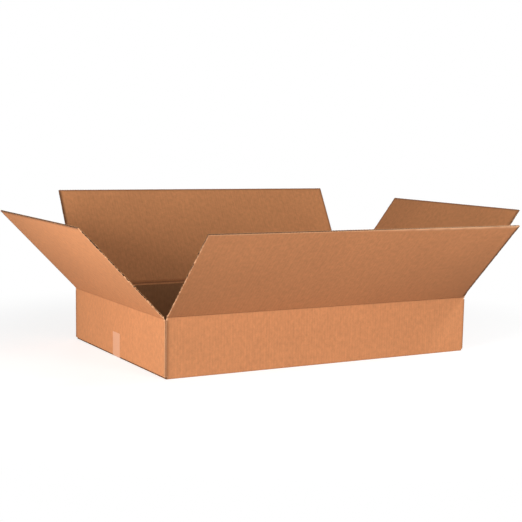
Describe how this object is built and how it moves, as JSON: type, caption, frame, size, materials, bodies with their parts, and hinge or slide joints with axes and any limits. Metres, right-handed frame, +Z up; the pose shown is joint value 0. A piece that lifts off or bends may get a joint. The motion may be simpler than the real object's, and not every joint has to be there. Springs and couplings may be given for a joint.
{
  "type": "cardboard box",
  "caption": "Shallow slotted corrugated carton, set up and open, with hinged top flaps leaning outwards and its bottom seam taped.",
  "frame": {"origin": "middle of the underside, on the surface that the carton stands on", "axes": "+X along the length, +Y from the front wall to the back wall, +Z up"},
  "size_m": [1.3329, 0.9902, 0.4211],
  "materials": {
    "board": "matte kraft liner",
    "tape": "clear packing tape on kraft, satin"
  },
  "bodies": {
    "box": {"box_body": "board", "bottom_tape": "tape"},
    "front": {"front_flap": "board"},
    "back": {"back_flap": "board"},
    "left": {"left_flap": "board"},
    "right": {"right_flap": "board"}
  },
  "joints": [
    {"name": "front_flap_fold", "type": "hinge", "parent": "box", "child": "front", "pos_m": [0, -0.3088, 0.15238], "axis": [1, 0, 0], "range_deg": [-135, 73]},
    {"name": "back_flap_fold", "type": "hinge", "parent": "box", "child": "back", "pos_m": [0, 0.3088, 0.15238], "axis": [-1, 0, 0], "range_deg": [-120.1, 87.9]},
    {"name": "left_flap_fold", "type": "hinge", "parent": "box", "child": "left", "pos_m": [-0.4612, 0, 0.14808], "axis": [0, -1, 0], "range_deg": [-134, 73]},
    {"name": "right_flap_fold", "type": "hinge", "parent": "box", "child": "right", "pos_m": [0.4612, 0, 0.14808], "axis": [0, 1, 0], "range_deg": [-128.2, 78.8]}
  ]
}
